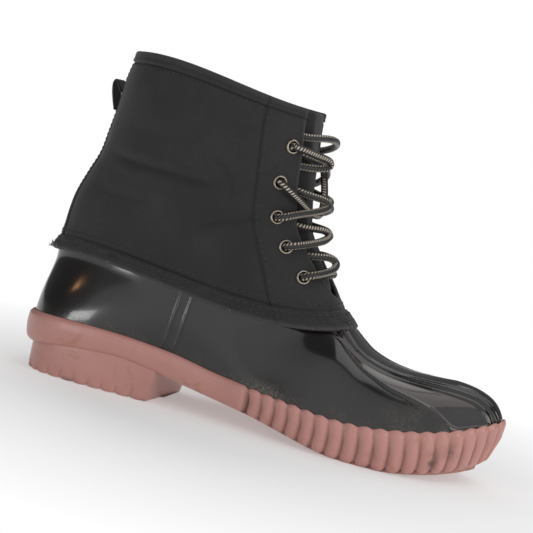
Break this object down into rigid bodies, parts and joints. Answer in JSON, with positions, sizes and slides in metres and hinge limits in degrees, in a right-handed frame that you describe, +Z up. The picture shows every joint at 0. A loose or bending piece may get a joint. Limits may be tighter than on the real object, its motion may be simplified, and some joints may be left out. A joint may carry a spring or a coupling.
{
  "type": "duck boot",
  "caption": "Lace-up ankle boot with a glossy moulded rubber foot, leather shaft, ribbed rubber outsole with a block heel, and a raised strip over the toe.",
  "frame": {"origin": "middle of the bottom of the boot's box, on the floor that it stands on", "axes": "+X towards the toe, +Y towards the outer side of the foot, +Z up the shaft"},
  "size_m": [0.2926, 0.0978, 0.1982],
  "materials": {
    "sole_rubber": "matt pink moulded rubber",
    "shell_rubber": "glossy black moulded rubber",
    "shaft_leather": "matt charcoal nubuck",
    "tongue_leather": "matt charcoal nubuck",
    "footbed": "brushed textile footbed",
    "eyelet_metal": "antique nickel",
    "lace_cord": "round braided cord, black with a light fleck"
  },
  "bodies": {
    "root": {"outsole": "sole_rubber", "shell": "shell_rubber", "upper": "shaft_leather", "tongue": "tongue_leather", "insole": "footbed", "pull_loop": "shaft_leather", "lace": "lace_cord", "lace_end_inner": "lace_cord", "lace_end_outer": "lace_cord", "eyelet_inner_1": "eyelet_metal", "eyelet_outer_1": "eyelet_metal", "eyelet_inner_2": "eyelet_metal", "eyelet_outer_2": "eyelet_metal", "eyelet_inner_3": "eyelet_metal", "eyelet_outer_3": "eyelet_metal", "eyelet_inner_4": "eyelet_metal", "eyelet_outer_4": "eyelet_metal", "eyelet_inner_5": "eyelet_metal", "eyelet_outer_5": "eyelet_metal"}
  },
  "joints": []
}
